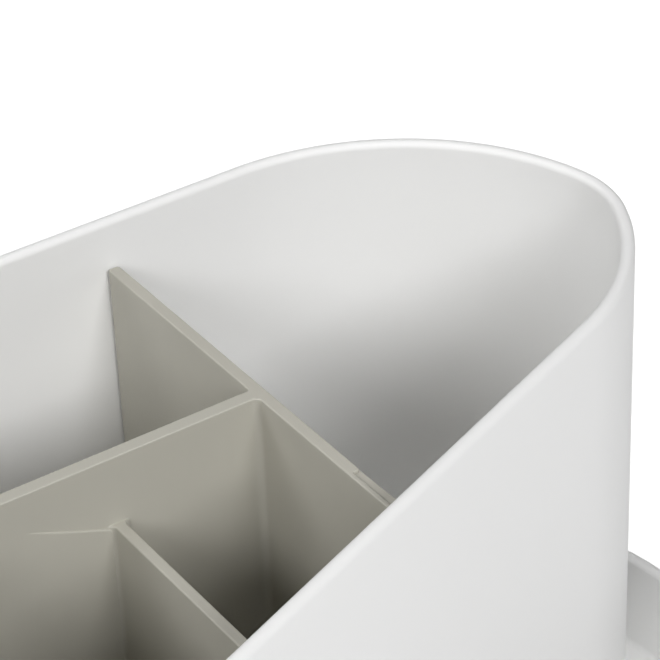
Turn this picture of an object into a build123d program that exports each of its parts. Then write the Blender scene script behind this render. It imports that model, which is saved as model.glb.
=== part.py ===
from build123d import *
import math
import os

os.makedirs("parts", exist_ok=True)

# Cosmetic organizer: a tall tub with a lift-out divider frame stands in a low tray,
# and the tray closes a base that holds two drawers.
# X runs along the front, -Y is the front, +Z is up, and the feet stand on Z = 0.

# Base and tray outline, a rounded rectangle seen from above
base_length = 300.0
base_depth = 134.0
base_corner = 60.0
shell_wall = 2.3
base_round = 1.2
seam_chamfer = 0.6

# Heights, from the floor up
foot_height = 2.6
foot_recess = 0.6
base_floor = 2.5
bay_height = 41.5
tray_floor = 2.3
tray_inner_height = 19.7
tub_height = 101.7
tub_plinth = 6.7
tub_floor = 2.3
tray_floor_round = 1.0
tub_floor_round = 0.8
tub_foot_round = 0.8

# Tub outline: flat back, a round end of three arcs, a front wall at an angle, a bowed middle
tub_wall = 2.4
tub_back_half = 94.0
tub_shoulder_radius = 48.6
tub_shoulder_turn = 75.7
tub_tip_radius = 21.2
tub_tip_turn = 38.6
tub_cheek_radius = 48.6
tub_front_angle = 21.5
tub_bow_radius = 60.0
tub_clearance = 1.5
rim_round = 1.1

# Divider frame
long_divider_wall = 2.4
cross_divider_wall = 1.8
long_divider_from_back = 48.1
outer_cross_x = 67.6
low_cross_x = 39.9
frame_below_rim = 9.0
low_below_frame = 12.5
frame_clearance = 0.4
frame_lift_gap = 0.3
junction_fillet = 1.2
back_junction_fillet = 0.4
frame_edge_round = 0.35
step_wall = 0.35
step_rise_angle = 21.5
rebate_length = 15.6
rebate_depth = 1.0
rebate_width = 0.9

# Drawers
bay_from_corner = 1.0
bay_wall = 2.0
mid_wall = 2.3
drawer_side_gap = 0.5
drawer_run_gap = 0.3
drawer_top_gap = 2.1
drawer_wall = 1.8
drawer_floor = 1.8
front_thickness = 2.5
front_gap = 0.4
box_front_height = 26.0
notch_radius = 12.0
notch_depth = 9.0
notch_corner = 1.0
front_edge_round = 0.7
peg_radius = 2.0
peg_length = 1.2
peg_spacing = 50.0
peg_height = 14.0
peg_clearance = 0.05
drawer_travel = 90.0
stop_gap = 0.3
stop_rib_height = 1.5
stop_rib_thickness = 2.0
stop_rib_width = 34.0
stop_tab_width = 24.0
stop_tab_overlap = 0.9
runner_rib_height = 1.0
runner_rib_width = 2.0
runner_rib_inset = 9.0
bumper_radius = 4.0
bumper_thickness = 2.0
bumper_spacing = 46.0
liner_thickness = 1.2
liner_gap = 0.3
partition_wall = 1.5
partition_height = 26.0
partition_gap = 0.15
guide_rib = 1.4

# Feet, screws and their bosses
foot_radius = 7.0
foot_from_end = 49.0
foot_from_side = 27.0
post_radius = 4.0
post_from_end = 36.0
post_from_side = 37.0
boss_drop = 12.0
pilot_radius = 1.25
pilot_depth = 8.0
screw_radius = 1.5
screw_hole_radius = 1.7
screw_length = 14.0
screw_head_radius = 2.8
screw_head_height = 2.0
head_bore_radius = 3.2
drive_radius = 1.0
drive_depth = 1.0
lip_height = 3.0
lip_wall = 1.6
lip_gap = 0.2
lip_start = 96.0
tub_screw_back_x = 52.0
tub_screw_back_y = 44.0
tub_screw_front_x = 30.0
tub_screw_front_y = -24.0
tub_screw_length = 8.0
sink_head_radius = 3.0
sink_head_height = 1.6

# Levels worked out from the heights
floor_bottom = foot_height - foot_recess
floor_top = floor_bottom + base_floor
housing_top = floor_top + bay_height
tray_top = housing_top + tray_floor
tray_rim = tray_top + tray_inner_height
tub_rim = tray_top + tub_height
tub_floor_bottom = tray_top + tub_plinth
tub_floor_top = tub_floor_bottom + tub_floor
frame_bottom = tub_floor_top + frame_lift_gap
frame_top = tub_rim - frame_below_rim
low_top = frame_top - low_below_frame

# Places worked out from the sizes
base_front = -base_depth / 2
base_back_inside = base_depth / 2 - shell_wall
tub_back = base_back_inside - tub_clearance
long_divider_y = tub_back - long_divider_from_back
foot_x = base_length / 2 - foot_from_end
foot_y = base_depth / 2 - foot_from_side
post_x = base_length / 2 - post_from_end
post_y = base_depth / 2 - post_from_side
bay_half = base_length / 2 - base_corner - bay_from_corner
bay_width = bay_half - mid_wall / 2
bay_middle = mid_wall / 2 + bay_width / 2
drawer_width = bay_width - 2 * drawer_side_gap
box_front = base_front + front_thickness
box_back = base_back_inside - bumper_thickness - stop_gap
box_bottom = floor_top + runner_rib_height + drawer_run_gap
box_top = housing_top - drawer_top_gap
box_length = box_back - box_front
box_middle_y = (box_front + box_back) / 2
stop_rib_back = box_back - drawer_wall - drawer_travel - stop_gap
post_top = housing_top - boss_drop
base_screw_head = post_top + pilot_depth - 1.0 - screw_length


def base_outline(inset):
    """The base's plan: a rounded rectangle, drawn in by inset."""
    with BuildSketch() as plan:
        RectangleRounded(
            base_length - 2 * inset, base_depth - 2 * inset, base_corner - inset
        )
    return plan.sketch


def tub_outline(inset):
    """The tub's plan, drawn in by inset: each arc turns about the same centre at every inset."""
    turn_left = 180 - tub_front_angle - tub_shoulder_turn - tub_tip_turn
    with BuildSketch() as plan:
        with BuildLine():
            back = Line((0, tub_back - inset), (tub_back_half, tub_back - inset))
            shoulder = JernArc(
                back @ 1, (1, 0), tub_shoulder_radius - inset, -tub_shoulder_turn
            )
            tip = JernArc(
                shoulder @ 1, shoulder % 1, tub_tip_radius - inset, -tub_tip_turn
            )
            cheek = JernArc(tip @ 1, tip % 1, tub_cheek_radius - inset, -turn_left)
            slant = math.radians(tub_front_angle)
            bow_half = (tub_bow_radius - inset) * math.sin(slant)
            run = ((cheek @ 1).X - bow_half) / math.cos(slant)
            front = Line(cheek @ 1, (cheek @ 1) + (cheek % 1) * run)
            JernArc(front @ 1, front % 1, tub_bow_radius - inset, -tub_front_angle)
            mirror(about=Plane.YZ)
        make_face()
    return plan.sketch


# Base housing: one shell with its floor, two drawer bays and four screw posts
with BuildPart() as base_housing:
    with BuildSketch(Plane.XY.offset(floor_bottom)):
        add(base_outline(0))
    extrude(amount=housing_top - floor_bottom)
    fillet(base_housing.edges().group_by(Axis.Z)[0], base_round)
    with BuildSketch(Plane.XY.offset(floor_top)):
        add(base_outline(shell_wall))
    extrude(amount=bay_height, mode=Mode.SUBTRACT)
    with BuildSketch(Plane.XY.offset(floor_top)):
        with Locations((0, base_front + shell_wall)):
            Rectangle(2 * bay_half, 4 * shell_wall)
    extrude(amount=bay_height, mode=Mode.SUBTRACT)
    with BuildSketch(Plane.XY.offset(floor_bottom)):
        with Locations((0, (base_front + base_back_inside) / 2)):
            Rectangle(mid_wall, base_back_inside - base_front)
        for side in (-1, 1):
            with Locations((side * (bay_half + bay_wall / 2), 0)):
                Rectangle(bay_wall, base_depth - shell_wall)
    extrude(amount=housing_top - floor_bottom)
    with BuildSketch(Plane.XY.offset(floor_top)):
        for side in (-1, 1):
            for edge in (-1, 1):
                rib_x = side * (bay_middle + edge * (bay_width / 2 - runner_rib_inset))
                with Locations((rib_x, shell_wall)):
                    Rectangle(runner_rib_width, base_depth - 6 * shell_wall)
    extrude(amount=runner_rib_height)
    with BuildSketch(Plane.XY.offset(floor_bottom)):
        with GridLocations(2 * post_x, 2 * post_y, 2, 2):
            Circle(post_radius)
    extrude(amount=post_top - floor_bottom)
    with BuildSketch(Plane.XY.offset(floor_bottom)):
        with GridLocations(2 * post_x, 2 * post_y, 2, 2):
            Circle(head_bore_radius)
    extrude(amount=base_screw_head + screw_head_height - floor_bottom, mode=Mode.SUBTRACT)
    with BuildSketch(Plane.XY.offset(floor_bottom)):
        with GridLocations(2 * post_x, 2 * post_y, 2, 2):
            Circle(screw_hole_radius)
    extrude(amount=post_top - floor_bottom, mode=Mode.SUBTRACT)
    with BuildSketch(Plane.XY.offset(floor_bottom)):
        with GridLocations(2 * foot_x, 2 * foot_y, 2, 2):
            Circle(foot_radius)
    extrude(amount=foot_recess, mode=Mode.SUBTRACT)
base_housing.part.label = "base_housing"
export_step(base_housing.part, "parts/base_housing.step")

# Rubber feet: each is a disc glued into a shallow round recess under the base
foot_places = {
    "foot_front_left": (-foot_x, -foot_y),
    "foot_front_right": (foot_x, -foot_y),
    "foot_back_left": (-foot_x, foot_y),
    "foot_back_right": (foot_x, foot_y),
}
for foot_name, foot_place in foot_places.items():
    with BuildPart() as foot:
        with BuildSketch():
            with Locations(foot_place):
                Circle(foot_radius - lip_gap)
        extrude(amount=foot_height)
        fillet(foot.edges().group_by(Axis.Z)[0], foot_recess)
    foot.part.label = foot_name
    export_step(foot.part, f"parts/{foot_name}.step")

# Low tray: its floor closes the base, and its rim stands flush with the base's wall
with BuildPart() as low_tray:
    with BuildSketch(Plane.XY.offset(housing_top)):
        add(base_outline(0))
    extrude(amount=tray_rim - housing_top)
    chamfer(low_tray.edges().group_by(Axis.Z)[0], seam_chamfer)
    with BuildSketch(Plane.XY.offset(tray_top)):
        add(base_outline(shell_wall))
    extrude(amount=tray_inner_height, mode=Mode.SUBTRACT)
    fillet(low_tray.edges().group_by(Axis.Z)[-1], rim_round)
    fillet(
        low_tray.edges().filter_by_position(Axis.Z, tray_top, tray_top),
        tray_floor_round,
    )
    with BuildSketch(Plane.XY.offset(housing_top)):
        add(base_outline(shell_wall + lip_gap))
        add(base_outline(shell_wall + lip_gap + lip_wall), mode=Mode.SUBTRACT)
        Rectangle(2 * lip_start, base_depth, mode=Mode.SUBTRACT)
    extrude(amount=-lip_height)
    with BuildSketch(Plane.XY.offset(housing_top)):
        with GridLocations(2 * post_x, 2 * post_y, 2, 2):
            Circle(post_radius)
    extrude(amount=-boss_drop)
    with BuildSketch(Plane.XY.offset(post_top)):
        with GridLocations(2 * post_x, 2 * post_y, 2, 2):
            Circle(pilot_radius)
    extrude(amount=pilot_depth, mode=Mode.SUBTRACT)
    with BuildSketch(Plane.XY.offset(housing_top)):
        for side in (-1, 1):
            with Locations((side * bay_middle, stop_rib_back - stop_rib_thickness / 2)):
                Rectangle(stop_rib_width, stop_rib_thickness)
    extrude(amount=-stop_rib_height)
    tub_screw_places = [
        (side * x, y)
        for side in (-1, 1)
        for x, y in (
            (tub_screw_back_x, tub_screw_back_y),
            (tub_screw_front_x, tub_screw_front_y),
        )
    ]
    with BuildSketch(Plane.XY.offset(housing_top)):
        with Locations(tub_screw_places):
            Circle(screw_hole_radius)
    extrude(amount=tray_floor, mode=Mode.SUBTRACT)
    with Locations(
        [(x, y, housing_top + sink_head_height / 2) for x, y in tub_screw_places]
    ):
        Cone(
            sink_head_radius + lip_gap,
            screw_radius + lip_gap,
            sink_head_height,
            mode=Mode.SUBTRACT,
        )
low_tray.part.label = "low_tray"
export_step(low_tray.part, "parts/low_tray.step")

# Base screws: pan heads in the bored posts, threads in the tray's bosses
with BuildPart() as base_screws:
    with BuildSketch(Plane.XY.offset(base_screw_head)):
        with GridLocations(2 * post_x, 2 * post_y, 2, 2):
            Circle(screw_head_radius)
    extrude(amount=screw_head_height)
    with BuildSketch(Plane.XY.offset(base_screw_head)):
        with GridLocations(2 * post_x, 2 * post_y, 2, 2):
            Circle(pilot_radius)
    extrude(amount=screw_length)
    with BuildSketch(Plane.XY.offset(base_screw_head)):
        with GridLocations(2 * post_x, 2 * post_y, 2, 2):
            Circle(drive_radius)
    extrude(amount=drive_depth, mode=Mode.SUBTRACT)
base_screws.part.label = "base_screws"
export_step(base_screws.part, "parts/base_screws.step")

# Tub: a tall wall round a raised floor, with four screw bosses in its plinth
with BuildPart() as tub:
    with BuildSketch(Plane.XY.offset(tray_top)):
        add(tub_outline(0))
    extrude(amount=tub_height)
    fillet(tub.edges().group_by(Axis.Z)[0], tub_foot_round)
    with BuildSketch(Plane.XY.offset(tub_floor_top)):
        add(tub_outline(tub_wall))
    extrude(amount=tub_rim - tub_floor_top, mode=Mode.SUBTRACT)
    with BuildSketch(Plane.XY.offset(tray_top)):
        add(tub_outline(tub_wall))
    extrude(amount=tub_plinth, mode=Mode.SUBTRACT)
    fillet(tub.edges().group_by(Axis.Z)[-1], rim_round)
    fillet(
        tub.edges().filter_by_position(Axis.Z, tub_floor_top, tub_floor_top),
        tub_floor_round,
    )
    with BuildSketch(Plane.XY.offset(tray_top)):
        with Locations(tub_screw_places):
            Circle(post_radius)
            Circle(pilot_radius, mode=Mode.SUBTRACT)
    extrude(amount=tub_plinth)
tub.part.label = "tub"
export_step(tub.part, "parts/tub.step")

# Tub screws: countersunk under the tray's floor, threads in the tub's bosses
with BuildPart() as tub_screws:
    with Locations(
        [(x, y, housing_top + sink_head_height / 2) for x, y in tub_screw_places]
    ):
        Cone(sink_head_radius, pilot_radius, sink_head_height)
    with BuildSketch(Plane.XY.offset(housing_top)):
        with Locations(tub_screw_places):
            Circle(pilot_radius)
    extrude(amount=tub_screw_length)
    with BuildSketch(Plane.XY.offset(housing_top)):
        with Locations(tub_screw_places):
            Circle(drive_radius)
    extrude(amount=drive_depth, mode=Mode.SUBTRACT)
tub_screws.part.label = "tub_screws"
export_step(tub_screws.part, "parts/tub_screws.step")


def divider_plan(cross_places):
    """The plan of the long divider with cross dividers: (x, first y, last y), filleted where they meet."""
    with BuildSketch() as plan:
        with Locations((0, long_divider_y)):
            Rectangle(2 * outer_cross_x, long_divider_wall)
        for x, first, last in cross_places:
            with Locations((x, (first + last) / 2)):
                Rectangle(cross_divider_wall, last - first)
        crossed = [x for x, first, last in cross_places]
        for side, radius in ((-1, junction_fillet), (1, back_junction_fillet)):
            face_y = long_divider_y + side * long_divider_wall / 2
            corners = [
                v
                for v in plan.vertices()
                if abs(v.Y - face_y) < 0.01
                and any(abs(abs(v.X - x) - cross_divider_wall / 2) < 0.01 for x in crossed)
            ]
            if corners:
                fillet(corners, radius)
        add(tub_outline(tub_wall + frame_clearance), mode=Mode.INTERSECT)
    return plan.sketch


# Divider frame: one moulding, lifted out of the tub by hand; its low cross dividers come first
far = base_depth / 2
with BuildPart() as low_dividers:
    with BuildSketch(Plane.XY.offset(frame_bottom)):
        add(divider_plan([(x, -far, long_divider_y) for x in (-low_cross_x, low_cross_x)]))
    extrude(amount=low_top - frame_bottom)
    fillet(low_dividers.edges().group_by(Axis.Z)[-1], frame_edge_round)

with BuildPart() as divider_frame:
    with BuildSketch(Plane.XY.offset(frame_bottom)):
        add(divider_plan([(x, -far, far) for x in (-outer_cross_x, 0, outer_cross_x)]))
    extrude(amount=frame_top - frame_bottom)
    fillet(divider_frame.edges().group_by(Axis.Z)[-1], frame_edge_round)
    add(low_dividers.part)
    # A thin step on the long divider's front face, rising from the low dividers' tops
    step_reach = low_below_frame / math.tan(math.radians(step_rise_angle))
    step_face = long_divider_y - long_divider_wall / 2
    with BuildSketch(Plane.XZ.offset(-step_face)):
        with BuildLine():
            Polyline(
                (-low_cross_x, frame_bottom),
                (-low_cross_x, low_top),
                (step_reach - low_cross_x, frame_top - frame_edge_round),
                (low_cross_x - step_reach, frame_top - frame_edge_round),
                (low_cross_x, low_top),
                (low_cross_x, frame_bottom),
                close=True,
            )
        make_face()
    extrude(amount=step_wall)
    # The end dividers are rebated along the top's outer edge where they near the front wall
    for side in (-1, 1):
        outer_face = outer_cross_x + cross_divider_wall / 2
        slope = math.tan(math.radians(tub_front_angle))
        reach = divider_frame.vertices().filter_by(
            lambda v: abs(v.X - side * outer_face) < 0.01
        )
        end_y = min(v.Y for v in reach)
        with Locations(
            (
                side * (outer_face - rebate_width / 2),
                end_y + rebate_length / 2,
                frame_top - rebate_depth / 2,
            )
        ):
            Box(
                rebate_width,
                rebate_length + rebate_width * slope,
                rebate_depth,
                mode=Mode.SUBTRACT,
            )
divider_frame.part.label = "divider_frame"
export_step(divider_frame.part, "parts/divider_frame.step")

# Drawers: a box, a front snapped on by two pegs, a felt liner and a partition, and two bumpers
for side_name, side in (("left", -1), ("right", 1)):
    middle = side * bay_middle

    with BuildPart() as drawer_box:
        with BuildSketch(Plane.XY.offset(box_bottom)):
            with Locations((middle, box_middle_y)):
                Rectangle(drawer_width, box_length)
        extrude(amount=box_top - box_bottom)
        with BuildSketch(Plane.XY.offset(box_bottom + drawer_floor)):
            with Locations((middle, box_middle_y)):
                Rectangle(drawer_width - 2 * drawer_wall, box_length - 2 * drawer_wall)
        extrude(amount=box_top - box_bottom, mode=Mode.SUBTRACT)
        with BuildSketch(Plane.XY.offset(box_bottom + box_front_height)):
            with Locations((middle, box_front + drawer_wall / 2)):
                Rectangle(drawer_width, drawer_wall)
        extrude(amount=box_top, mode=Mode.SUBTRACT)
        with BuildSketch(Plane.XY.offset(box_top)):
            with Locations((middle, box_back - drawer_wall / 2)):
                Rectangle(stop_tab_width, drawer_wall)
        extrude(amount=housing_top - stop_rib_height + stop_tab_overlap - box_top)
        with BuildSketch(Plane.XY.offset(box_bottom + drawer_floor)):
            rib_step = partition_wall / 2 + partition_gap + guide_rib / 2
            for edge in (-1, 1):
                rib_x = middle + edge * (drawer_width / 2 - drawer_wall - guide_rib / 2)
                for turn in (-1, 1):
                    with Locations((rib_x, box_middle_y + turn * rib_step)):
                        Rectangle(guide_rib, guide_rib)
        extrude(amount=liner_thickness + partition_height)
        with BuildSketch(Plane.XZ.offset(-box_front)):
            for edge in (-1, 1):
                with Locations((middle + edge * peg_spacing / 2, box_bottom + peg_height)):
                    Circle(peg_radius)
        extrude(amount=peg_length)
    drawer_box.part.label = f"drawer_box_{side_name}"
    export_step(drawer_box.part, f"parts/drawer_box_{side_name}.step")

    front_low = floor_top + front_gap
    front_high = housing_top - front_gap
    with BuildPart() as drawer_front:
        with BuildSketch(Plane.XZ.offset(-box_front)) as drawer_front_face:
            with Locations((middle, (front_low + front_high) / 2)):
                Rectangle(bay_width - 2 * front_gap, front_high - front_low)
            with Locations((middle, front_high + notch_radius - notch_depth)):
                Circle(notch_radius, mode=Mode.SUBTRACT)
            notch_ends = drawer_front_face.vertices().group_by(Axis.Y)[-1].sort_by(Axis.X)[1:3]
            fillet(notch_ends, notch_corner)
        extrude(amount=front_thickness)
        fillet(drawer_front.edges().group_by(Axis.Y)[0], front_edge_round)
        with BuildSketch(Plane.XZ.offset(-box_front)):
            for edge in (-1, 1):
                with Locations((middle + edge * peg_spacing / 2, box_bottom + peg_height)):
                    Circle(peg_radius + peg_clearance)
        extrude(amount=peg_length + peg_clearance, mode=Mode.SUBTRACT)
    drawer_front.part.label = f"drawer_front_{side_name}"
    export_step(drawer_front.part, f"parts/drawer_front_{side_name}.step")

    liner_bottom = box_bottom + drawer_floor
    with BuildPart() as drawer_liner:
        with BuildSketch(Plane.XY.offset(liner_bottom)):
            with Locations((middle, box_middle_y)):
                Rectangle(
                    drawer_width - 2 * drawer_wall - 2 * guide_rib - 2 * liner_gap,
                    box_length - 2 * drawer_wall - 2 * liner_gap,
                )
        extrude(amount=liner_thickness)
    drawer_liner.part.label = f"drawer_liner_{side_name}"
    export_step(drawer_liner.part, f"parts/drawer_liner_{side_name}.step")

    with BuildPart() as drawer_partition:
        with BuildSketch(Plane.XY.offset(liner_bottom + liner_thickness)):
            with Locations((middle, box_middle_y)):
                Rectangle(
                    drawer_width - 2 * drawer_wall - 2 * partition_gap, partition_wall
                )
        extrude(amount=partition_height)
    drawer_partition.part.label = f"drawer_partition_{side_name}"
    export_step(drawer_partition.part, f"parts/drawer_partition_{side_name}.step")

    with BuildPart() as drawer_bumpers:
        with BuildSketch(Plane.XZ.offset(-base_back_inside)):
            for edge in (-1, 1):
                with Locations((middle + edge * bumper_spacing / 2, (box_bottom + box_top) / 2)):
                    Circle(bumper_radius)
        extrude(amount=bumper_thickness)
    drawer_bumpers.part.label = f"drawer_bumpers_{side_name}"
    export_step(drawer_bumpers.part, f"parts/drawer_bumpers_{side_name}.step")
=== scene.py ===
"""The cosmetic organizer's looks: a white tub in a low tray over two drawers, with a warm grey frame."""
import math

import bpy
import numpy as np
from mathutils import Matrix, Vector


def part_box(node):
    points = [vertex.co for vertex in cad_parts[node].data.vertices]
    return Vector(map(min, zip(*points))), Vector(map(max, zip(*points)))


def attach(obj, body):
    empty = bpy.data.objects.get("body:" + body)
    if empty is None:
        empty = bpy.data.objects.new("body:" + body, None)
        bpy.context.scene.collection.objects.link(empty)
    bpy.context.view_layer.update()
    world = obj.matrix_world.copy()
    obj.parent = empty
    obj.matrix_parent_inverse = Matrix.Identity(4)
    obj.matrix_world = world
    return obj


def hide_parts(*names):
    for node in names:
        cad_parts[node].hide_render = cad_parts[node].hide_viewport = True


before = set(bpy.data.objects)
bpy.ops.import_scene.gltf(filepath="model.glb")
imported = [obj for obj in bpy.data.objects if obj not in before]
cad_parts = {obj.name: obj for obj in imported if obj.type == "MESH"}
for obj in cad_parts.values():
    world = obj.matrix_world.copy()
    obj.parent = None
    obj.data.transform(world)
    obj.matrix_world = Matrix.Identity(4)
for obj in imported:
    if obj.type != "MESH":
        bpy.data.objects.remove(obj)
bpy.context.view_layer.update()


# Camera: a long lens about half a metre off, above the front left, close on the tub's right end.
# Focal length in photograph pixels, place in mm from the part's origin, angles in degrees, clipping in m.
MM = 0.001
PHOTO_WIDTH = 660
FOCAL_PIXELS = 3000.0
SENSOR_WIDTH = 36.0
CAMERA_PLACE = (-132.57, -317.99, 414.94)
CAMERA_HEADING, CAMERA_PITCH, CAMERA_ROLL = -32.745, 34.08, -2.526
CLIP_NEAR, CLIP_FAR = 0.02, 20.0

lens = bpy.data.cameras.new("camera")
lens.sensor_width = SENSOR_WIDTH
lens.lens = SENSOR_WIDTH * FOCAL_PIXELS / PHOTO_WIDTH
lens.clip_start, lens.clip_end = CLIP_NEAR, CLIP_FAR
camera = bpy.data.objects.new("camera", lens)
camera.matrix_world = (
    Matrix.Translation(Vector(CAMERA_PLACE) * MM)
    @ Matrix.Rotation(math.radians(CAMERA_HEADING), 4, "Z")
    @ Matrix.Rotation(math.radians(90 - CAMERA_PITCH), 4, "X")
    @ Matrix.Rotation(math.radians(CAMERA_ROLL), 4, "Z")
)
bpy.context.collection.objects.link(camera)
bpy.context.scene.camera = camera
bpy.context.scene.view_settings.view_transform = "Standard"


# Studio light: three softboxes in an arc from the front to the left, one behind and one overhead.
# Each lamp: name, direction from the object (heading and height in degrees), watts and width in m.
LAMPS = (
    ("front_lamp", -84.0, 37.0, 7.0, 0.4),
    ("low_lamp", -128.0, 26.0, 2.8, 0.4),
    ("left_lamp", -162.0, 36.0, 2.9, 0.4),
    ("back_lamp", 140.0, 40.0, 4.2, 0.6),
    ("top_lamp", 0.0, 85.0, 2.7, 0.9),
)
LAMP_DISTANCE = 1.2
AIM = Vector((0.0, 0.0, 0.09))


def add_lamp(name, heading, height, watts, width):
    """A square area lamp that faces the object."""
    light = bpy.data.lights.new(name, "AREA")
    light.size = width
    light.energy = watts
    lamp = bpy.data.objects.new(name, light)
    turn, lift = math.radians(heading), math.radians(height)
    away = Vector((math.cos(lift) * math.cos(turn), math.cos(lift) * math.sin(turn), math.sin(lift)))
    lamp.location = AIM + away * LAMP_DISTANCE
    lamp.rotation_euler = away.to_track_quat("Z", "Y").to_euler()
    bpy.context.collection.objects.link(lamp)


for values in LAMPS:
    add_lamp(*values)


# Room and floor: pure white where the camera looks past the object. The floor is pale paper that adds
# light of its own to camera rays, less near the object, so it shows white and still keeps the shadow.
ROOM_LIGHT = 0.006
WHITE = (1.0, 1.0, 1.0, 1.0)
FLOOR_COLOR = (0.83, 0.83, 0.83, 1.0)
FLOOR_HALF = 3.0
LIFT_NEAR, LIFT_FAR = 0.62, 1.0
SHADOW_REACH, WHITE_REACH = 0.2, 0.8
DIRECT_RAYS = ("Is Camera Ray", "Is Glossy Ray", "Is Transmission Ray")


def feed(tree, entry, value):
    """Links a socket to a node's input, or sets the input to a plain value."""
    if isinstance(value, Socket):
        tree.links.new(value.socket, entry)
    else:
        entry.default_value = value


class Socket:
    """An output socket of a material's node. Sums, differences and products on it add Math nodes, and
    so does larger(), the larger of two values."""

    def __init__(self, tree, socket):
        self.tree, self.socket = tree, socket

    def math(self, operation, first, second):
        node = self.tree.nodes.new("ShaderNodeMath")
        node.operation = operation
        for entry, value in zip(node.inputs, (first, second)):
            feed(self.tree, entry, value)
        return Socket(self.tree, node.outputs[0])

    def __add__(self, other):
        return self.math("ADD", self, other)

    def __sub__(self, other):
        return self.math("SUBTRACT", self, other)

    def __rsub__(self, other):
        return self.math("SUBTRACT", other, self)

    def __mul__(self, other):
        return self.math("MULTIPLY", self, other)

    def larger(self, other):
        return self.math("MAXIMUM", self, other)

    __radd__ = __add__
    __rmul__ = __mul__


class Tree:
    """A node tree that is built by node(): type, settings, then values or links for its sockets."""

    def __init__(self, owner):
        owner.use_nodes = True
        self.tree = owner.node_tree
        self.tree.nodes.clear()

    def node(self, kind, settings=None, output=0, **sockets):
        """A new node's output, by name or number. Its inputs are named with _ for a space, or in_0, in_1
        and so on by number."""
        node = self.tree.nodes.new("ShaderNode" + kind)
        for name, value in (settings or {}).items():
            setattr(node, name, value)
        for name, value in sockets.items():
            entry = int(name[3:]) if name.startswith("in_") else name.replace("_", " ")
            feed(self.tree, node.inputs[entry], value)
        return Socket(self.tree, node.outputs[output]) if node.outputs else None

    def noise(self, place, size, detail=2.0, roughness=0.5):
        """Smooth noise from 0 to 1 whose blotches are about size mm across."""
        scale = 1 / (size * MM)
        return self.node("TexNoise", Vector=place, Scale=scale, Detail=detail, Roughness=roughness)

    def stretched(self, place, x, y, z):
        """The place scaled along each axis: a pattern on it is drawn out where the factor is small."""
        return self.node("VectorMath", {"operation": "MULTIPLY"}, in_0=place, in_1=(x, y, z))

    def blend(self, factor, first, second):
        """A colour between two, each a tuple or a socket. A Mix node takes colours at its inputs 6 and 7
        and gives one at its output 2."""
        first, second = (c if isinstance(c, Socket) else (*c[:3], 1.0) for c in (first, second))
        return self.node("Mix", {"data_type": "RGBA"}, output=2, in_0=factor, in_6=first, in_7=second)


def seen_directly(tree):
    """1 for rays that the camera sees straight, in a mirror or through glass, else 0."""
    straight, mirrored, through = (tree.node("LightPath", output=ray) for ray in DIRECT_RAYS)
    return straight.larger(mirrored.larger(through))


room = bpy.data.worlds.new("room")
bpy.context.scene.world = room
sky = Tree(room)
shown = seen_directly(sky)
sky.node("OutputWorld", Surface=sky.node(
    "Background", Color=WHITE, Strength=shown + (1 - shown) * ROOM_LIGHT))

floor_mesh = bpy.data.meshes.new("floor")
corners = [(x * FLOOR_HALF, y * FLOOR_HALF, 0.0) for x, y in ((-1, -1), (1, -1), (1, 1), (-1, 1))]
floor_mesh.from_pydata(corners, [], [(0, 1, 2, 3)])
floor = bpy.data.objects.new("floor", floor_mesh)
bpy.context.collection.objects.link(floor)
paper = bpy.data.materials.new("paper")
paint = Tree(paper)
place = paint.node("TexCoord", output="Object")
away = paint.node("VectorMath", {"operation": "LENGTH"}, output="Value", in_0=place)
lift = paint.node("MapRange", Value=away, From_Min=SHADOW_REACH, From_Max=WHITE_REACH,
                  To_Min=LIFT_NEAR, To_Max=LIFT_FAR)
paint.node("OutputMaterial", Surface=paint.node(
    "AddShader",
    in_0=paint.node("BsdfDiffuse", Color=FLOOR_COLOR),
    in_1=paint.node("Emission", Color=WHITE, Strength=seen_directly(paint) * lift)))
floor_mesh.materials.append(paper)


# Rubber feet: four soft grey discs, cut from moulded sheet and glued into recesses under the base.
# The sole has round grip ridges, and its rim is rolled.
FOOT_EDGE, FOOT_ROLL = 0.6, 0.54
FOOT_TOP_ROUND, FOOT_TOP_INSET = 0.05, 1.0
FOOT_RINGS, FOOT_HUB = 40, 0.02
RIDGE_STEP, RIDGE_DEPTH = 1.5, 0.35
RUBBER = (0.47, 0.47, 0.455)
RUBBER_DULLNESS, PIT_DULLNESS = 0.72, 0.2
MOTTLE_SIZE, PIT_SIZE, PIT_DEPTH = 3.0, 0.25, 0.03
DUST_DARK, DUST_PALE = 0.85, 1.25


def grid_faces(rows, columns, first=0):
    """The faces of a closed grid: row i, column j joins the next row and, round the end, the next column,
    and one face closes each end."""
    i, j = np.meshgrid(np.arange(rows - 1), np.arange(columns), indexing="ij")
    here, over = i * columns + j, i * columns + (j + 1) % columns
    quads = np.stack((here, over, over + columns, here + columns), axis=-1).reshape(-1, 4) + first
    low_end = [tuple(first + np.arange(columns)[::-1])]
    high_end = [tuple(first + (rows - 1) * columns + np.arange(columns))]
    return quads.tolist() + low_end + high_end


def joined(grids):
    """Several closed grids as one mesh: all their points, and each grid's faces counted from its first."""
    first = np.cumsum([0] + [grid.size // 3 for grid in grids])
    faces = [face for start, grid in zip(first, grids) for face in grid_faces(*grid.shape[:2], start)]
    return np.concatenate([grid.reshape(-1, 3) for grid in grids]), faces


def mesh_piece(name, points, faces, body, slot, material, node):
    """A smooth piece from points in mm and faces, which rides on a body in place of a CAD node."""
    mesh = bpy.data.meshes.new(name)
    mesh.from_pydata(points * MM, [], faces)
    mesh.shade_smooth()
    mesh.materials.append(material)
    piece = bpy.data.objects.new(name, mesh)
    bpy.context.collection.objects.link(piece)
    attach(piece, body)
    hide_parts(node)
    return piece


def ring(center, radius, columns=64):
    """A round plan: points center + radius (cos a, sin a) and outward directions (cos a, sin a)."""
    turn = np.linspace(0, 2 * math.pi, columns, endpoint=False)
    outward = np.stack((np.cos(turn), np.sin(turn)), axis=-1)
    return np.array(center) + radius * outward, outward


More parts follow.
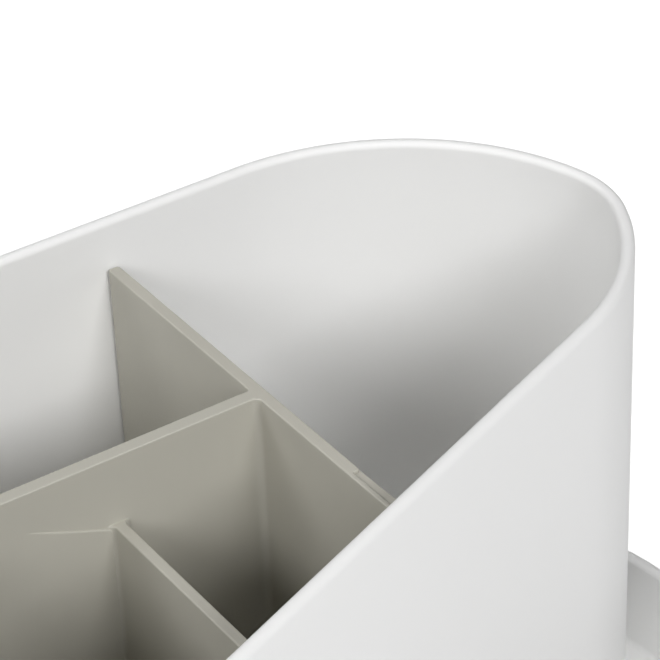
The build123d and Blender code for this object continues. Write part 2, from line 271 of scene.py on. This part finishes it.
def carried(plan, inset, height):
    """A profile carried round a plan: row i is the plan drawn in by inset i along its normals, at
    height i."""
    points, outward = plan
    flat = points[None] - np.asarray(inset)[:, None, None] * outward[None]
    level = np.broadcast_to(np.asarray(height, float)[:, None, None], flat.shape[:2] + (1,))
    return np.concatenate((flat, level), axis=-1)


def rounded(corners, steps=7, hold=0.25, hold_share=0.4):
    """A profile through corners (inset, height, radius). Each is rounded by p + r a (1 - sin t) +
    r b (1 - cos t), where a and b point along its two sides. A point outside each rounding, hold mm off
    or that share of the free length if it is short, keeps the flats flat."""
    path = np.array(corners, float)
    rows = [path[:1, :2]]
    turn = np.linspace(0, math.pi / 2, steps)[:, None]
    for before, here, after in zip(path[:-2], path[1:-1], path[2:]):
        sides = [(end - here)[:2] for end in (before, after)]
        lengths = [np.linalg.norm(side) for side in sides]
        room = [length - here[2] - end[2] for length, end in zip(lengths, (before, after))]
        first, second = (side / length for side, length in zip(sides, lengths))
        holds = [here[2] + min(hold, hold_share * free) for free in room]
        bend = here[:2] + here[2] * (first * (1 - np.sin(turn)) + second * (1 - np.cos(turn)))
        rows += [here[None, :2] + first * holds[0], bend, here[None, :2] + second * holds[1]]
    return np.concatenate(rows + [path[-1:, :2]]).T


def limits(node):
    """A CAD node's lowest and highest corners in mm."""
    return (np.array(corner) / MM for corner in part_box(node))


def shade(color, factor):
    """That colour made darker or lighter."""
    return [c * factor for c in color]


def started(name):
    """A new material, its tree, and the Object coordinates that its patterns read."""
    material = bpy.data.materials.new(name)
    tree = Tree(material)
    return material, tree, tree.node("TexCoord", output="Object")


def finished(tree, color, roughness, relief, depth, **more):
    """The end of a material: its colour and roughness, and a surface raised by relief times depth in mm."""
    bump = tree.node("Bump", Strength=1.0, Distance=depth * MM, Height=relief)
    tree.node("OutputMaterial", Surface=tree.node(
        "BsdfPrincipled", Base_Color=color, Roughness=roughness, Normal=bump, **more))


def rubber(name):
    """Soft rubber: dull, slightly mottled, with a fine pitted skin and dust in the pits."""
    material, tree, place = started(name)
    mottle = tree.noise(place, MOTTLE_SIZE, detail=4.0)
    pits = tree.noise(place, PIT_SIZE, detail=3.0, roughness=0.7)
    dust = tree.blend(pits * mottle, shade(RUBBER, DUST_DARK), shade(RUBBER, DUST_PALE))
    finished(tree, dust, RUBBER_DULLNESS + pits * PIT_DULLNESS, pits, PIT_DEPTH)
    return material


foot_rubber = rubber("foot_rubber")
for corner in ("front_left", "front_right", "back_left", "back_right"):
    low, high = limits("foot_" + corner)
    radius = (high[0] - low[0]) / 2
    out = np.linspace(FOOT_HUB, 1 - FOOT_EDGE / radius, FOOT_RINGS)
    # The sole rises by depth (0.5 - 0.5 cos(2 pi r / step)) at r from its middle.
    ridges = RIDGE_DEPTH * (0.5 - 0.5 * np.cos(2 * math.pi * out * radius / RIDGE_STEP))
    edge = rounded([(FOOT_EDGE, low[2], 0), (0, low[2], FOOT_ROLL), (0, high[2], FOOT_TOP_ROUND),
                    (FOOT_TOP_INSET, high[2], 0)])
    inset = np.concatenate((radius * (1 - out), edge[0][1:], [radius * (1 - FOOT_HUB)]))
    height = np.concatenate((low[2] + ridges, edge[1][1:], [high[2]]))
    disc = carried(ring((low + high)[:2] / 2, radius), inset, height)
    mesh_piece("rubber_foot_" + corner, *joined([disc]), "base", "foot_rubber", foot_rubber,
               "foot_" + corner)


# Base housing: one white ABS shell with a satin skin, moulded in a polished tool. Its foot is a little
# scuffed and duller from standing on a counter.
HOUSING_WHITE = (0.84, 0.84, 0.833)
SATIN_DULLNESS = 0.38
DRIFT_SIZE, DRIFT_DARK, DRIFT_PALE = 55.0, 0.99, 1.006
FLOW_SIZE, FLOW_STRETCH, FLOW_DULLNESS, FLOW_RELIEF = 16.0, 0.35, 0.06, 6.0
POLISH_SIZE, POLISH_DULLNESS, POLISH_DEPTH = 0.5, 0.1, 0.004
SCUFF_HEIGHT, SCUFF_SIZE, SCUFF_STRETCH = 9.0, 2.2, 0.3
SCUFF_FROM, SCUFF_FULL = 0.52, 0.72
SCUFF_SHARE, SCUFF_SHADE, SCUFF_DULLNESS = 0.35, 0.8, 0.25


def satin_white(name, color, dullness=SATIN_DULLNESS, scuff_below=0.0):
    """White ABS: its tone drifts a little, with slow waves of melt flow and a fine polished grain in the
    skin. Below scuff_below (mm) rubbed patches are duller and a shade darker."""
    material, tree, place = started(name)
    drift = tree.noise(place, DRIFT_SIZE)
    flow = tree.noise(tree.stretched(place, 1.0, 1.0, FLOW_STRETCH), FLOW_SIZE, detail=3.0)
    polish = tree.noise(place, POLISH_SIZE, detail=3.0, roughness=0.6)
    tone = tree.blend(drift, shade(color, DRIFT_DARK), shade(color, DRIFT_PALE))
    roughness = dullness + (flow - 0.5) * FLOW_DULLNESS + (polish - 0.5) * POLISH_DULLNESS
    if scuff_below:
        height = tree.node("SeparateXYZ", output="Z", Vector=place)
        low = tree.node("MapRange", Value=height, From_Max=scuff_below * MM, To_Min=1.0, To_Max=0.0)
        along = tree.stretched(place, SCUFF_STRETCH, SCUFF_STRETCH, 1.0)
        rubbed = tree.noise(along, SCUFF_SIZE, detail=5.0, roughness=0.65)
        scuff = low * tree.node("MapRange", Value=rubbed, From_Min=SCUFF_FROM, From_Max=SCUFF_FULL)
        tone = tree.blend(scuff * SCUFF_SHARE, tone, shade(color, SCUFF_SHADE))
        roughness = roughness + scuff * SCUFF_DULLNESS
    finished(tree, tone, roughness, flow * FLOW_RELIEF + polish, POLISH_DEPTH)
    return material


def dress(node, material):
    """Gives a CAD node's object that one material."""
    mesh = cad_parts[node].data
    mesh.materials.clear()
    mesh.materials.append(material)


dress("base_housing", satin_white("housing_plastic", HOUSING_WHITE, scuff_below=SCUFF_HEIGHT))


# Drawer bumpers: two soft rubber domes behind each drawer, self-adhesive, which stop it quietly.
# Each dome's depth falls with the square of the distance from its middle.
BUMPER_EDGE = 0.35
BUMPER_RINGS, BUMPER_SIDES, BUMPER_HUB = 16, 40, 0.03


def bumper(center, radius, back, front):
    """A dome on a short straight edge: at share s of its radius it stands (back - front) (1 - c s^2) off
    its back, where c is 1 less the edge's share."""
    out = np.linspace(BUMPER_HUB, 1, BUMPER_RINGS)
    dome = (back - front) * (1 - (1 - BUMPER_EDGE) * out ** 2)
    inset = np.concatenate(([radius * (1 - BUMPER_HUB), 0.0], radius * (1 - out[::-1])))
    reach = np.concatenate(([0.0, 0.0], dome[::-1]))
    rows = carried(ring((0.0, 0.0), radius, BUMPER_SIDES), inset, reach)
    return np.stack((center[0] + rows[..., 0], back - rows[..., 2], center[1] + rows[..., 1]), axis=-1)


for side in ("left", "right"):
    low, high = limits("drawer_bumpers_" + side)
    radius, middle = (high[2] - low[2]) / 2, (low[2] + high[2]) / 2
    pair = [bumper((x, middle), radius, high[1], low[1]) for x in (low[0] + radius, high[0] - radius)]
    mesh_piece("rubber_bumpers_" + side, *joined(pair), "base", "foot_rubber", foot_rubber,
               "drawer_bumpers_" + side)


# Drawer boxes and partitions: warm grey ABS with the matte grain of an etched mould. The partitions
# slide into ribs in the boxes.
GREIGE = (0.50, 0.485, 0.425)
PIGMENT_SIZE, PIGMENT_SHARE, PIGMENT_DARK, PIGMENT_PALE = 30.0, 0.6, 0.965, 1.035
STREAK_SIZE, STREAK_STRETCH, STREAK_SHARE = 3.0, 0.15, 0.4
ETCH_SIZE, ETCH_DEPTH, ETCH_SHARE, ETCH_SHADE = 0.22, 0.018, 0.12, 0.75
MATTE_DULLNESS, ETCH_DULLNESS = 0.5, 0.12


def etched_greige(name, color):
    """Warm grey ABS: pigment drift with faint flow streaks, over a close matte grain that scatters the
    gloss."""
    material, tree, place = started(name)
    drift = tree.noise(place, PIGMENT_SIZE)
    streak = tree.noise(tree.stretched(place, 1.0, 1.0, STREAK_STRETCH), STREAK_SIZE, detail=4.0)
    grain = tree.noise(place, ETCH_SIZE, detail=4.0, roughness=0.65)
    clouds = drift * PIGMENT_SHARE + streak * STREAK_SHARE
    tone = tree.blend(clouds, shade(color, PIGMENT_DARK), shade(color, PIGMENT_PALE))
    tone = tree.blend(grain * ETCH_SHARE, tone, shade(color, ETCH_SHADE))
    finished(tree, tone, MATTE_DULLNESS + grain * ETCH_DULLNESS, grain, ETCH_DEPTH)
    return material


drawer_plastic = etched_greige("drawer_plastic", GREIGE)
for side in ("left", "right"):
    dress("drawer_box_" + side, drawer_plastic)
    dress("drawer_partition_" + side, drawer_plastic)


# Drawer fronts: plates of the base's white ABS with a round finger notch in the top edge. Each is
# moulded on its own and snapped onto two pegs of its box.
front_plastic = satin_white("front_plastic", HOUSING_WHITE)
for side in ("left", "right"):
    dress("drawer_front_" + side, front_plastic)


# Felt liners: pressed needle felt, cut to the drawer's floor with its corners eased, and glued down.
# Its cut edge is soft, its fibres lie every way, and its grey is flecked with pale and dark ones.
FELT, FELT_PALE, FELT_DARK = (0.30, 0.285, 0.26), (0.42, 0.405, 0.375), (0.16, 0.15, 0.135)
FELT_CORNER, FELT_EDGE, FELT_FOOT_ROUND = 2.5, 0.45, 0.1
FELT_UNDER, FELT_OVER = 2.2, 2.3
WIDTH_POINTS, LENGTH_POINTS, CORNER_POINTS = 30, 44, 6
FIBRE_SIZE, FIBRE_STRETCH, FIBRE_FROM, FIBRE_FULL = 0.16, 0.12, 0.42, 0.75
MAT_SIZE, MAT_SHARE, FLECK_SIZE, FLECK_SHARE = 6.0, 0.3, 0.9, 0.5
FELT_DULLNESS, FIBRE_GLOSS, FELT_SHEEN = 0.96, 0.08, 0.25
FIBRE_DEPTH, MAT_RELIEF = 0.25, 0.8


def walked(start, runs):
    """A plan walked anticlockwise: each run is (length, 0, points), straight, or (radius, turn in degrees,
    points), an arc p + r (sin a - sin a0, cos a0 - cos a). Gives its points and their outward directions
    (sin a, -cos a)."""
    spot, heading = np.array(start, float), 0.0
    points, outward = [], []
    for size, turn, count in runs:
        share = np.linspace(0, 1, count + 1)
        angle = heading + math.radians(turn) * share
        if turn:
            arc = np.sin(angle) - math.sin(heading), math.cos(heading) - np.cos(angle)
            step = size * np.stack(arc, axis=-1)
        else:
            step = size * share[:, None] * (math.cos(heading), math.sin(heading))
        points.append((spot + step)[:-1])
        outward.append(np.stack((np.sin(angle), -np.cos(angle)), axis=-1)[:-1])
        spot, heading = spot + step[-1], angle[-1]
    return np.concatenate(points), np.concatenate(outward)


def felt(name):
    """Needle felt: crossed drawn-out noise for the fibres, which flecks the colour and raises the skin."""
    material, tree, place = started(name)
    along, across = (tree.noise(tree.stretched(place, x, y, 1.0), FIBRE_SIZE, detail=3.0, roughness=0.7)
                     for x, y in ((FIBRE_STRETCH, 1.0), (1.0, FIBRE_STRETCH)))
    fibres = along.larger(across)
    matted = tree.noise(place, MAT_SIZE, detail=4.0, roughness=0.6)
    fleck = tree.noise(place, FLECK_SIZE)
    pale = tree.node("MapRange", Value=fibres, From_Min=FIBRE_FROM, From_Max=FIBRE_FULL)
    tone = tree.blend(pale, FELT_DARK, FELT_PALE)
    tone = tree.blend(fleck * FLECK_SHARE + matted * MAT_SHARE, tone, FELT)
    finished(tree, tone, FELT_DULLNESS - fibres * FIBRE_GLOSS, fibres + matted * MAT_RELIEF, FIBRE_DEPTH,
             Sheen_Weight=FELT_SHEEN)
    return material


liner_felt = felt("liner_felt")
for side in ("left", "right"):
    low, high = limits("drawer_liner_" + side)
    width, length = high[0] - low[0], high[1] - low[1]
    corner = (FELT_CORNER, 90, CORNER_POINTS)
    two_sides = [(width - 2 * FELT_CORNER, 0, WIDTH_POINTS), corner,
                 (length - 2 * FELT_CORNER, 0, LENGTH_POINTS), corner]
    plan = walked((low[0] + FELT_CORNER, low[1]), two_sides * 2)
    edge = rounded([(FELT_UNDER, low[2], 0), (0, low[2], FELT_FOOT_ROUND), (0, high[2], FELT_EDGE),
                    (FELT_OVER, high[2], 0)])
    liner = mesh_piece("felt_liner_" + side, *joined([carried(plan, *edge)]), "drawer_" + side,
                       "liner_felt", liner_felt, "drawer_liner_" + side)


# Low tray: one moulding of white ABS with the base's satin skin, which closes the base. Its wall
# stands round the tub, which is screwed to its floor.
dress("low_tray", satin_white("tray_plastic", HOUSING_WHITE))


# Base screws: four pan-head screws of zinc-plated steel, driven up through the posts into the tray.
# The head has a cross recess, and the thread is cut to a point for plastic.
HEAD_RADIUS, HEAD_CHAMFER = 2.8, 0.3
FACE_FROM, FACE_TO = 0.04, 0.9
PAN_RIM, PAN_HEIGHT = 1.4, 2.0
CORE_RADIUS, NECK_RADIUS, TIP_END = 1.0, 1.1, 0.15
POINT_LENGTH = 1.2
THREAD_RIDGE, THREAD_PITCH = 0.25, 1.3
RECESS_REACH, RECESS_END, RECESS_DEPTH = 1.45, 0.3, 1.1
RECESS_HALF_WIDTH, RECESS_RIM = 0.32, 1.6
FACE_RINGS, SHANK_RINGS, SCREW_SIDES = 16, 60, 48
ZINC = (0.62, 0.62, 0.6)
CLOUD_SIZE, CLOUD_DARK, CLOUD_PALE = 1.4, 0.9, 1.1
CRYSTAL_SIZE, CRYSTAL_DEPTH = 0.12, 0.004
ZINC_DULLNESS, CLOUD_DULLNESS, CRYSTAL_DULLNESS = 0.28, 0.15, 0.06


def screw(center, bottom, top, head_rim, head_top):
    """A screw with its head down, as rows (r, z) turned by angle a. The head's face is sunk inside a cross
    by depth clip(rim - min(|x|, |y|) / half width) clip((reach - r) / end), both from 0 to 1, and the
    shank's radius is core + ridge |1 - 2 frac(z / pitch - a / 2 pi)|."""
    turn = np.linspace(0, 2 * math.pi, SCREW_SIDES, endpoint=False)
    face = np.linspace(FACE_FROM, FACE_TO, FACE_RINGS) * HEAD_RADIUS
    collar = [HEAD_RADIUS, HEAD_RADIUS, NECK_RADIUS]
    collar_heights = [bottom + HEAD_CHAMFER, head_rim, head_top]
    shank = np.linspace(head_top, top - POINT_LENGTH, SHANK_RINGS)
    radius = np.concatenate((face, collar, np.full(SHANK_RINGS, CORE_RADIUS), [TIP_END]))[:, None]
    height = np.concatenate((np.full(FACE_RINGS, bottom), collar_heights, shank, [top]))[:, None]
    number = np.arange(len(radius))[:, None]
    on_face = number < FACE_RINGS
    on_shank = (number >= FACE_RINGS + len(collar)) & (number < len(radius) - 1)
    x, y = radius * np.cos(turn), radius * np.sin(turn)
    in_arm = np.clip(RECESS_RIM - np.minimum(np.abs(x), np.abs(y)) / RECESS_HALF_WIDTH, 0, 1)
    inside = in_arm * np.clip((RECESS_REACH - radius) / RECESS_END, 0, 1)
    climb = height / THREAD_PITCH - turn / (2 * math.pi)
    ridge = THREAD_RIDGE * np.abs(1 - 2 * (climb - np.floor(climb)))
    grown = np.where(on_shank, (radius + ridge) / radius, 1.0)
    level = np.where(on_face, height + RECESS_DEPTH * inside, height + 0 * x)
    return np.stack((center[0] + x * grown, center[1] + y * grown, level), axis=-1)


def zinc(name):
    """Zinc-plated steel: fine crystals vary the gloss, and the plating is a little clouded."""
    material, tree, place = started(name)
    cloud = tree.noise(place, CLOUD_SIZE, detail=3.0)
    crystal = tree.noise(place, CRYSTAL_SIZE)
    tone = tree.blend(cloud, shade(ZINC, CLOUD_DARK), shade(ZINC, CLOUD_PALE))
    roughness = ZINC_DULLNESS + cloud * CLOUD_DULLNESS + crystal * CRYSTAL_DULLNESS
    finished(tree, tone, roughness, crystal, CRYSTAL_DEPTH, Metallic=1.0)
    return material


zinc_steel = zinc("zinc_steel")


def screws(name, node, places, head_rim, head_height):
    """Several screws in one piece, at those places, as long as the CAD node is high."""
    low, high = limits(node)
    each = [screw(place, low[2], high[2], low[2] + head_rim, low[2] + head_height) for place in places]
    mesh_piece(name, *joined(each), "base", "zinc_steel", zinc_steel, node)


low, high = limits("base_screws")
places = [(x, y) for x in (low[0] + HEAD_RADIUS, high[0] - HEAD_RADIUS)
          for y in (low[1] + HEAD_RADIUS, high[1] - HEAD_RADIUS)]
screws("pan_head_screws", "base_screws", places, PAN_RIM, PAN_HEIGHT)


# Tub: one white ABS moulding with a dull satin skin. Its wall turns round the ends in three arcs, the
# rim is rounded on both sides, and four bosses under the raised floor take the screws from below.
TUB_WALL, TUB_PLINTH, TUB_FLOOR = 2.4, 6.7, 2.3
TUB_RIM_ROUND, TUB_FOOT_ROUND, TUB_FLOOR_ROUND = 1.1, 0.8, 0.8
PLINTH_ROUND, PLINTH_FOOT_ROUND = 0.3, 0.1
FLOOR_INSET = 18.0
TUB_BACK_HALF = 94.0
SHOULDER_RADIUS, SHOULDER_TURN = 48.6, 75.7
TIP_RADIUS, TIP_TURN = 21.2, 38.6
CHEEK_RADIUS = 48.6
FRONT_ANGLE = 21.5
BOW_RADIUS = 60.0
PLAN_POINTS = (20, 16, 40, 30, 60, 12)
BOSS_RADIUS, BOSS_BORE, BOSS_SIDES = 4.0, 1.25, 48
BOSS_ROUND, BORE_ROUND, BOSS_IN_FLOOR = 0.3, 0.25, 0.2
SCREW_PLACES = [(side * x, y) for side in (-1, 1) for x, y in ((52.0, 44.0), (30.0, -24.0))]
TUB_WHITE = (0.94, 0.94, 0.935)
TUB_DULLNESS = 0.58


def tube_faces(rows, columns, first):
    """The faces of a turned tube whose profile closes on itself: its last row joins the first."""
    band = grid_faces(rows, columns, first)[:-2]
    here = first + np.arange(columns)
    over = first + (np.arange(columns) + 1) % columns
    last = (rows - 1) * columns
    return band + np.stack((here + last, over + last, over, here), axis=-1).tolist()


def tub_plan(front, back):
    """The tub's plan between those y, from the middle of its front: bow, slanted front, cheek, tip,
    shoulder and half the back, each with its share of PLAN_POINTS, the back's middle point, and then
    all of it mirrored."""
    cheek_turn = 180 - FRONT_ANGLE - SHOULDER_TURN - TIP_TURN
    headings = np.radians(np.cumsum([0, FRONT_ANGLE, cheek_turn, TIP_TURN, SHOULDER_TURN]))
    reach = np.diff(np.sin(headings)) * (BOW_RADIUS, CHEEK_RADIUS, TIP_RADIUS, SHOULDER_RADIUS)
    slant = (TUB_BACK_HALF - reach.sum()) / math.cos(math.radians(FRONT_ANGLE))
    sizes = (BOW_RADIUS, slant, CHEEK_RADIUS, TIP_RADIUS, SHOULDER_RADIUS, TUB_BACK_HALF)
    turns = (FRONT_ANGLE, 0, cheek_turn, TIP_TURN, SHOULDER_TURN, 0)
    points, outward = walked((0.0, 0.0), zip(sizes, turns, PLAN_POINTS))
    points[:, 1] += front - points[:, 1].min()
    flip = np.array((-1.0, 1.0))
    return (np.concatenate((points, [(0.0, back)], points[:0:-1] * flip)),
            np.concatenate((outward, [(0.0, 1.0)], outward[:0:-1] * flip)))


low, high = limits("tub")
outer_wall = tub_plan(low[1], high[1])
floor_under, floor_over = low[2] + TUB_PLINTH, low[2] + TUB_PLINTH + TUB_FLOOR
shell = carried(outer_wall, *rounded([
    (FLOOR_INSET, floor_under, 0), (TUB_WALL, floor_under, PLINTH_ROUND),
    (TUB_WALL, low[2], PLINTH_FOOT_ROUND), (0, low[2], TUB_FOOT_ROUND),
    (0, high[2], TUB_RIM_ROUND), (TUB_WALL, high[2], TUB_RIM_ROUND),
    (TUB_WALL, floor_over, TUB_FLOOR_ROUND), (FLOOR_INSET, floor_over, 0)]))
bore, boss_top = BOSS_RADIUS - BOSS_BORE, floor_under + BOSS_IN_FLOOR
boss_profile = rounded([(bore, boss_top, 0), (bore, low[2], BORE_ROUND), (0, low[2], BOSS_ROUND),
                        (0, boss_top, 0)], steps=4)
points, faces = joined([shell])
for place in SCREW_PLACES:
    boss = carried(ring(place, BOSS_RADIUS, BOSS_SIDES), *boss_profile)
    faces += tube_faces(*boss.shape[:2], len(points))
    points = np.concatenate((points, boss.reshape(-1, 3)))
mesh_piece("tub_shell", points, faces, "base", "white_plastic",
           satin_white("tub_plastic", TUB_WHITE, dullness=TUB_DULLNESS), "tub")


# Tub screws: four countersunk screws of the same steel and thread as the base's. Their heads lie in the
# underside of the tray's floor, and they are driven up through it into the tub's bosses.
SUNK_RIM, SUNK_HEIGHT = 0.35, 1.7
screws("countersunk_screws", "tub_screws", SCREW_PLACES, SUNK_RIM, SUNK_HEIGHT)


# Divider frame: one lift-out moulding in warm grey ABS with an etched matte grain, like the drawers. The
# cross dividers' front ends follow the tub's wall, the end ones widen there under a rebate in the top's
# outer edge, and a thin ledge on the long divider's face fades out from each low divider inwards.
LONG_WALL, CROSS_WALL, LOW_WALL = 2.5, 2.2, 1.95
SOLID_END_WALL = 1.8
LONG_MIDDLE = 15.1
LOW_PLACE, LOW_DROP = 39.9, 12.5
END_GAP = 2.8
FRONT_FILLET, BACK_FILLET, ROOT_ROUND = 1.2, 0.4, 0.35
END_ROUND, THIN_ROUND = 0.6, 0.56
TOP_ROUND, BOTTOM_ROUND, SEAM_ROUND = 0.26, 0.2, 0.02
FLAT_INSET = 0.3
REBATE_LENGTH, REBATE_DEPTH, REBATE_WIDTH = 15.6, 0.5, 1.3
REBATE_ROUND, REBATE_TIP_ROUND = 0.2, 0.32
WIDENING, WIDENING_ROUND = 0.6, 12.0
LEDGE_DEPTH, LEDGE_DROP, LEDGE_SLOPE = 0.35, 0.75, 22.0
LEDGE_FADE = (22.5, 31.0)
LEDGE_HOLD, LEDGE_FOOT = 0.5, 0.4
LEDGE_SINK, LEDGE_ROOT = 0.02, 0.4
LEDGE_COLUMNS, LEDGE_STEPS = 60, 6


def front_end(x):
    """How far forward a cross divider reaches at x: the tub's wall drawn in by the gap."""
    points, outward = outer_wall
    line = (points - END_GAP * outward)[:np.argmax(points[:, 0])]
    return np.interp(abs(x), line[:, 0], line[:, 1])


def outline(corners):
    """A closed plan through corners (x, y, radius), anticlockwise, with the outward direction at each point
    worked out from the points on both sides of it."""
    start = [(corners[0][0] + corners[-1][0]) / 2, (corners[0][1] + corners[-1][1]) / 2, 0]
    points = rounded([start, *corners, start]).T[:-1]
    along = np.roll(points, -1, axis=0) - np.roll(points, 1, axis=0)
    along /= np.linalg.norm(along, axis=1, keepdims=True)
    return points, np.stack((along[:, 1], -along[:, 0]), axis=-1)


def frame_plan(half, back, rebated):
    """The frame's plan, anticlockwise from its back middle: corners (x, y, radius) of the left half, and
    then of the right half, which it mirrors. Half is how far off the middle the end dividers' inner
    faces are."""
    face, back_face = LONG_MIDDLE - LONG_WALL / 2, LONG_MIDDLE + LONG_WALL / 2
    mid, end = CROSS_WALL / 2, half + CROSS_WALL
    wide, rebate_back = end + WIDENING, front_end(end) + REBATE_LENGTH
    outer = [(wide, front_end(wide), END_ROUND), (end, rebate_back, WIDENING_ROUND)]
    if rebated:
        thin = end - REBATE_WIDTH
        outer = [(thin, front_end(thin), REBATE_TIP_ROUND), (thin, rebate_back, REBATE_ROUND),
                 (end, rebate_back, THIN_ROUND)]
    right = [(mid, front_end(mid), END_ROUND), (mid, face, FRONT_FILLET), (half, face, FRONT_FILLET),
             (half, front_end(half), THIN_ROUND if rebated else END_ROUND), *outer, (end, back, END_ROUND),
             (half, back, END_ROUND), (half, back_face, BACK_FILLET), (mid, back_face, BACK_FILLET),
             (mid, back, END_ROUND)]
    return outline([(-x, y, radius) for x, y, radius in right[::-1]] + right)


def low_plan(x):
    """A low cross divider's plan: it starts inside the long divider and leaves its face with a fillet."""
    face, mid = LONG_MIDDLE - LONG_WALL / 2, LOW_WALL / 2
    wide = mid + FRONT_FILLET + BACK_FILLET
    return outline([
        (x - wide, LONG_MIDDLE, ROOT_ROUND), (x - wide, face, ROOT_ROUND), (x - mid, face, FRONT_FILLET),
        (x - mid, front_end(x - mid), END_ROUND), (x + mid, front_end(x + mid), END_ROUND),
        (x + mid, face, FRONT_FILLET), (x + wide, face, ROOT_ROUND), (x + wide, LONG_MIDDLE, ROOT_ROUND)])


def moulded(plan, bottom, top, top_round, bottom_round=BOTTOM_ROUND):
    """A wall on that plan from bottom to top with its edges rounded."""
    return carried(plan, *rounded([
        (FLAT_INSET, bottom, 0), (0, bottom, bottom_round), (0, top, top_round), (FLAT_INSET, top, 0)]))


def ledge(side, bottom, top):
    """A thin raised panel on the long divider's face, carried from the low divider towards the middle: its
    top rises by the tangent of the slope, and its depth fades to nothing by a smooth step s^2 (3 - 2 s)."""
    reach = np.linspace(LEDGE_FADE[0], LOW_PLACE, LEDGE_COLUMNS)[:, None]
    share = np.clip((reach - LEDGE_FADE[0]) / (LEDGE_FADE[1] - LEDGE_FADE[0]), 0, 1)
    depth = LEDGE_DEPTH * share ** 2 * (3 - 2 * share)
    climb = (LOW_PLACE - LOW_WALL / 2 - reach) * math.tan(math.radians(LEDGE_SLOPE))
    turn = np.linspace(0, math.pi / 2, LEDGE_STEPS)
    drop = np.concatenate(([0.0], LEDGE_DEPTH * (1 - np.sin(turn))[::-1], [LEDGE_HOLD]))
    forward = np.concatenate(([0.0], np.cos(turn)[::-1], [1.0]))
    foot = np.full_like(reach, bottom + LEDGE_FOOT)
    rounding = top - LOW_DROP - LEDGE_DROP + climb - drop
    height = np.concatenate((rounding, foot + LEDGE_HOLD, foot, foot), axis=1)
    away = np.concatenate((depth * forward, depth, depth, 0 * depth), axis=1) - LEDGE_SINK
    away[:, [0, -1]] = -LEDGE_ROOT
    face = LONG_MIDDLE - LONG_WALL / 2
    points = np.stack((side * np.broadcast_to(reach, height.shape), face - away, height), axis=-1)
    return points[::-1] if side > 0 else points


low, high = limits("divider_frame")
bottom, back, top = low[2], high[1], high[2]
seam = top - REBATE_DEPTH
# The end dividers' inner faces stay where the solid has them: its end walls are thinner.
half = high[0] - SOLID_END_WALL
parts = [
    moulded(frame_plan(half, back, False), bottom, seam, SEAM_ROUND),
    moulded(frame_plan(half, back, True), seam, top, TOP_ROUND, SEAM_ROUND),
    *[moulded(low_plan(side * LOW_PLACE), bottom, top - LOW_DROP, TOP_ROUND) for side in (-1, 1)],
    *[ledge(side, bottom, top) for side in (-1, 1)]]
mesh_piece("divider_shell", *joined(parts), "dividers", "greige_plastic",
           etched_greige("divider_plastic", GREIGE), "divider_frame")
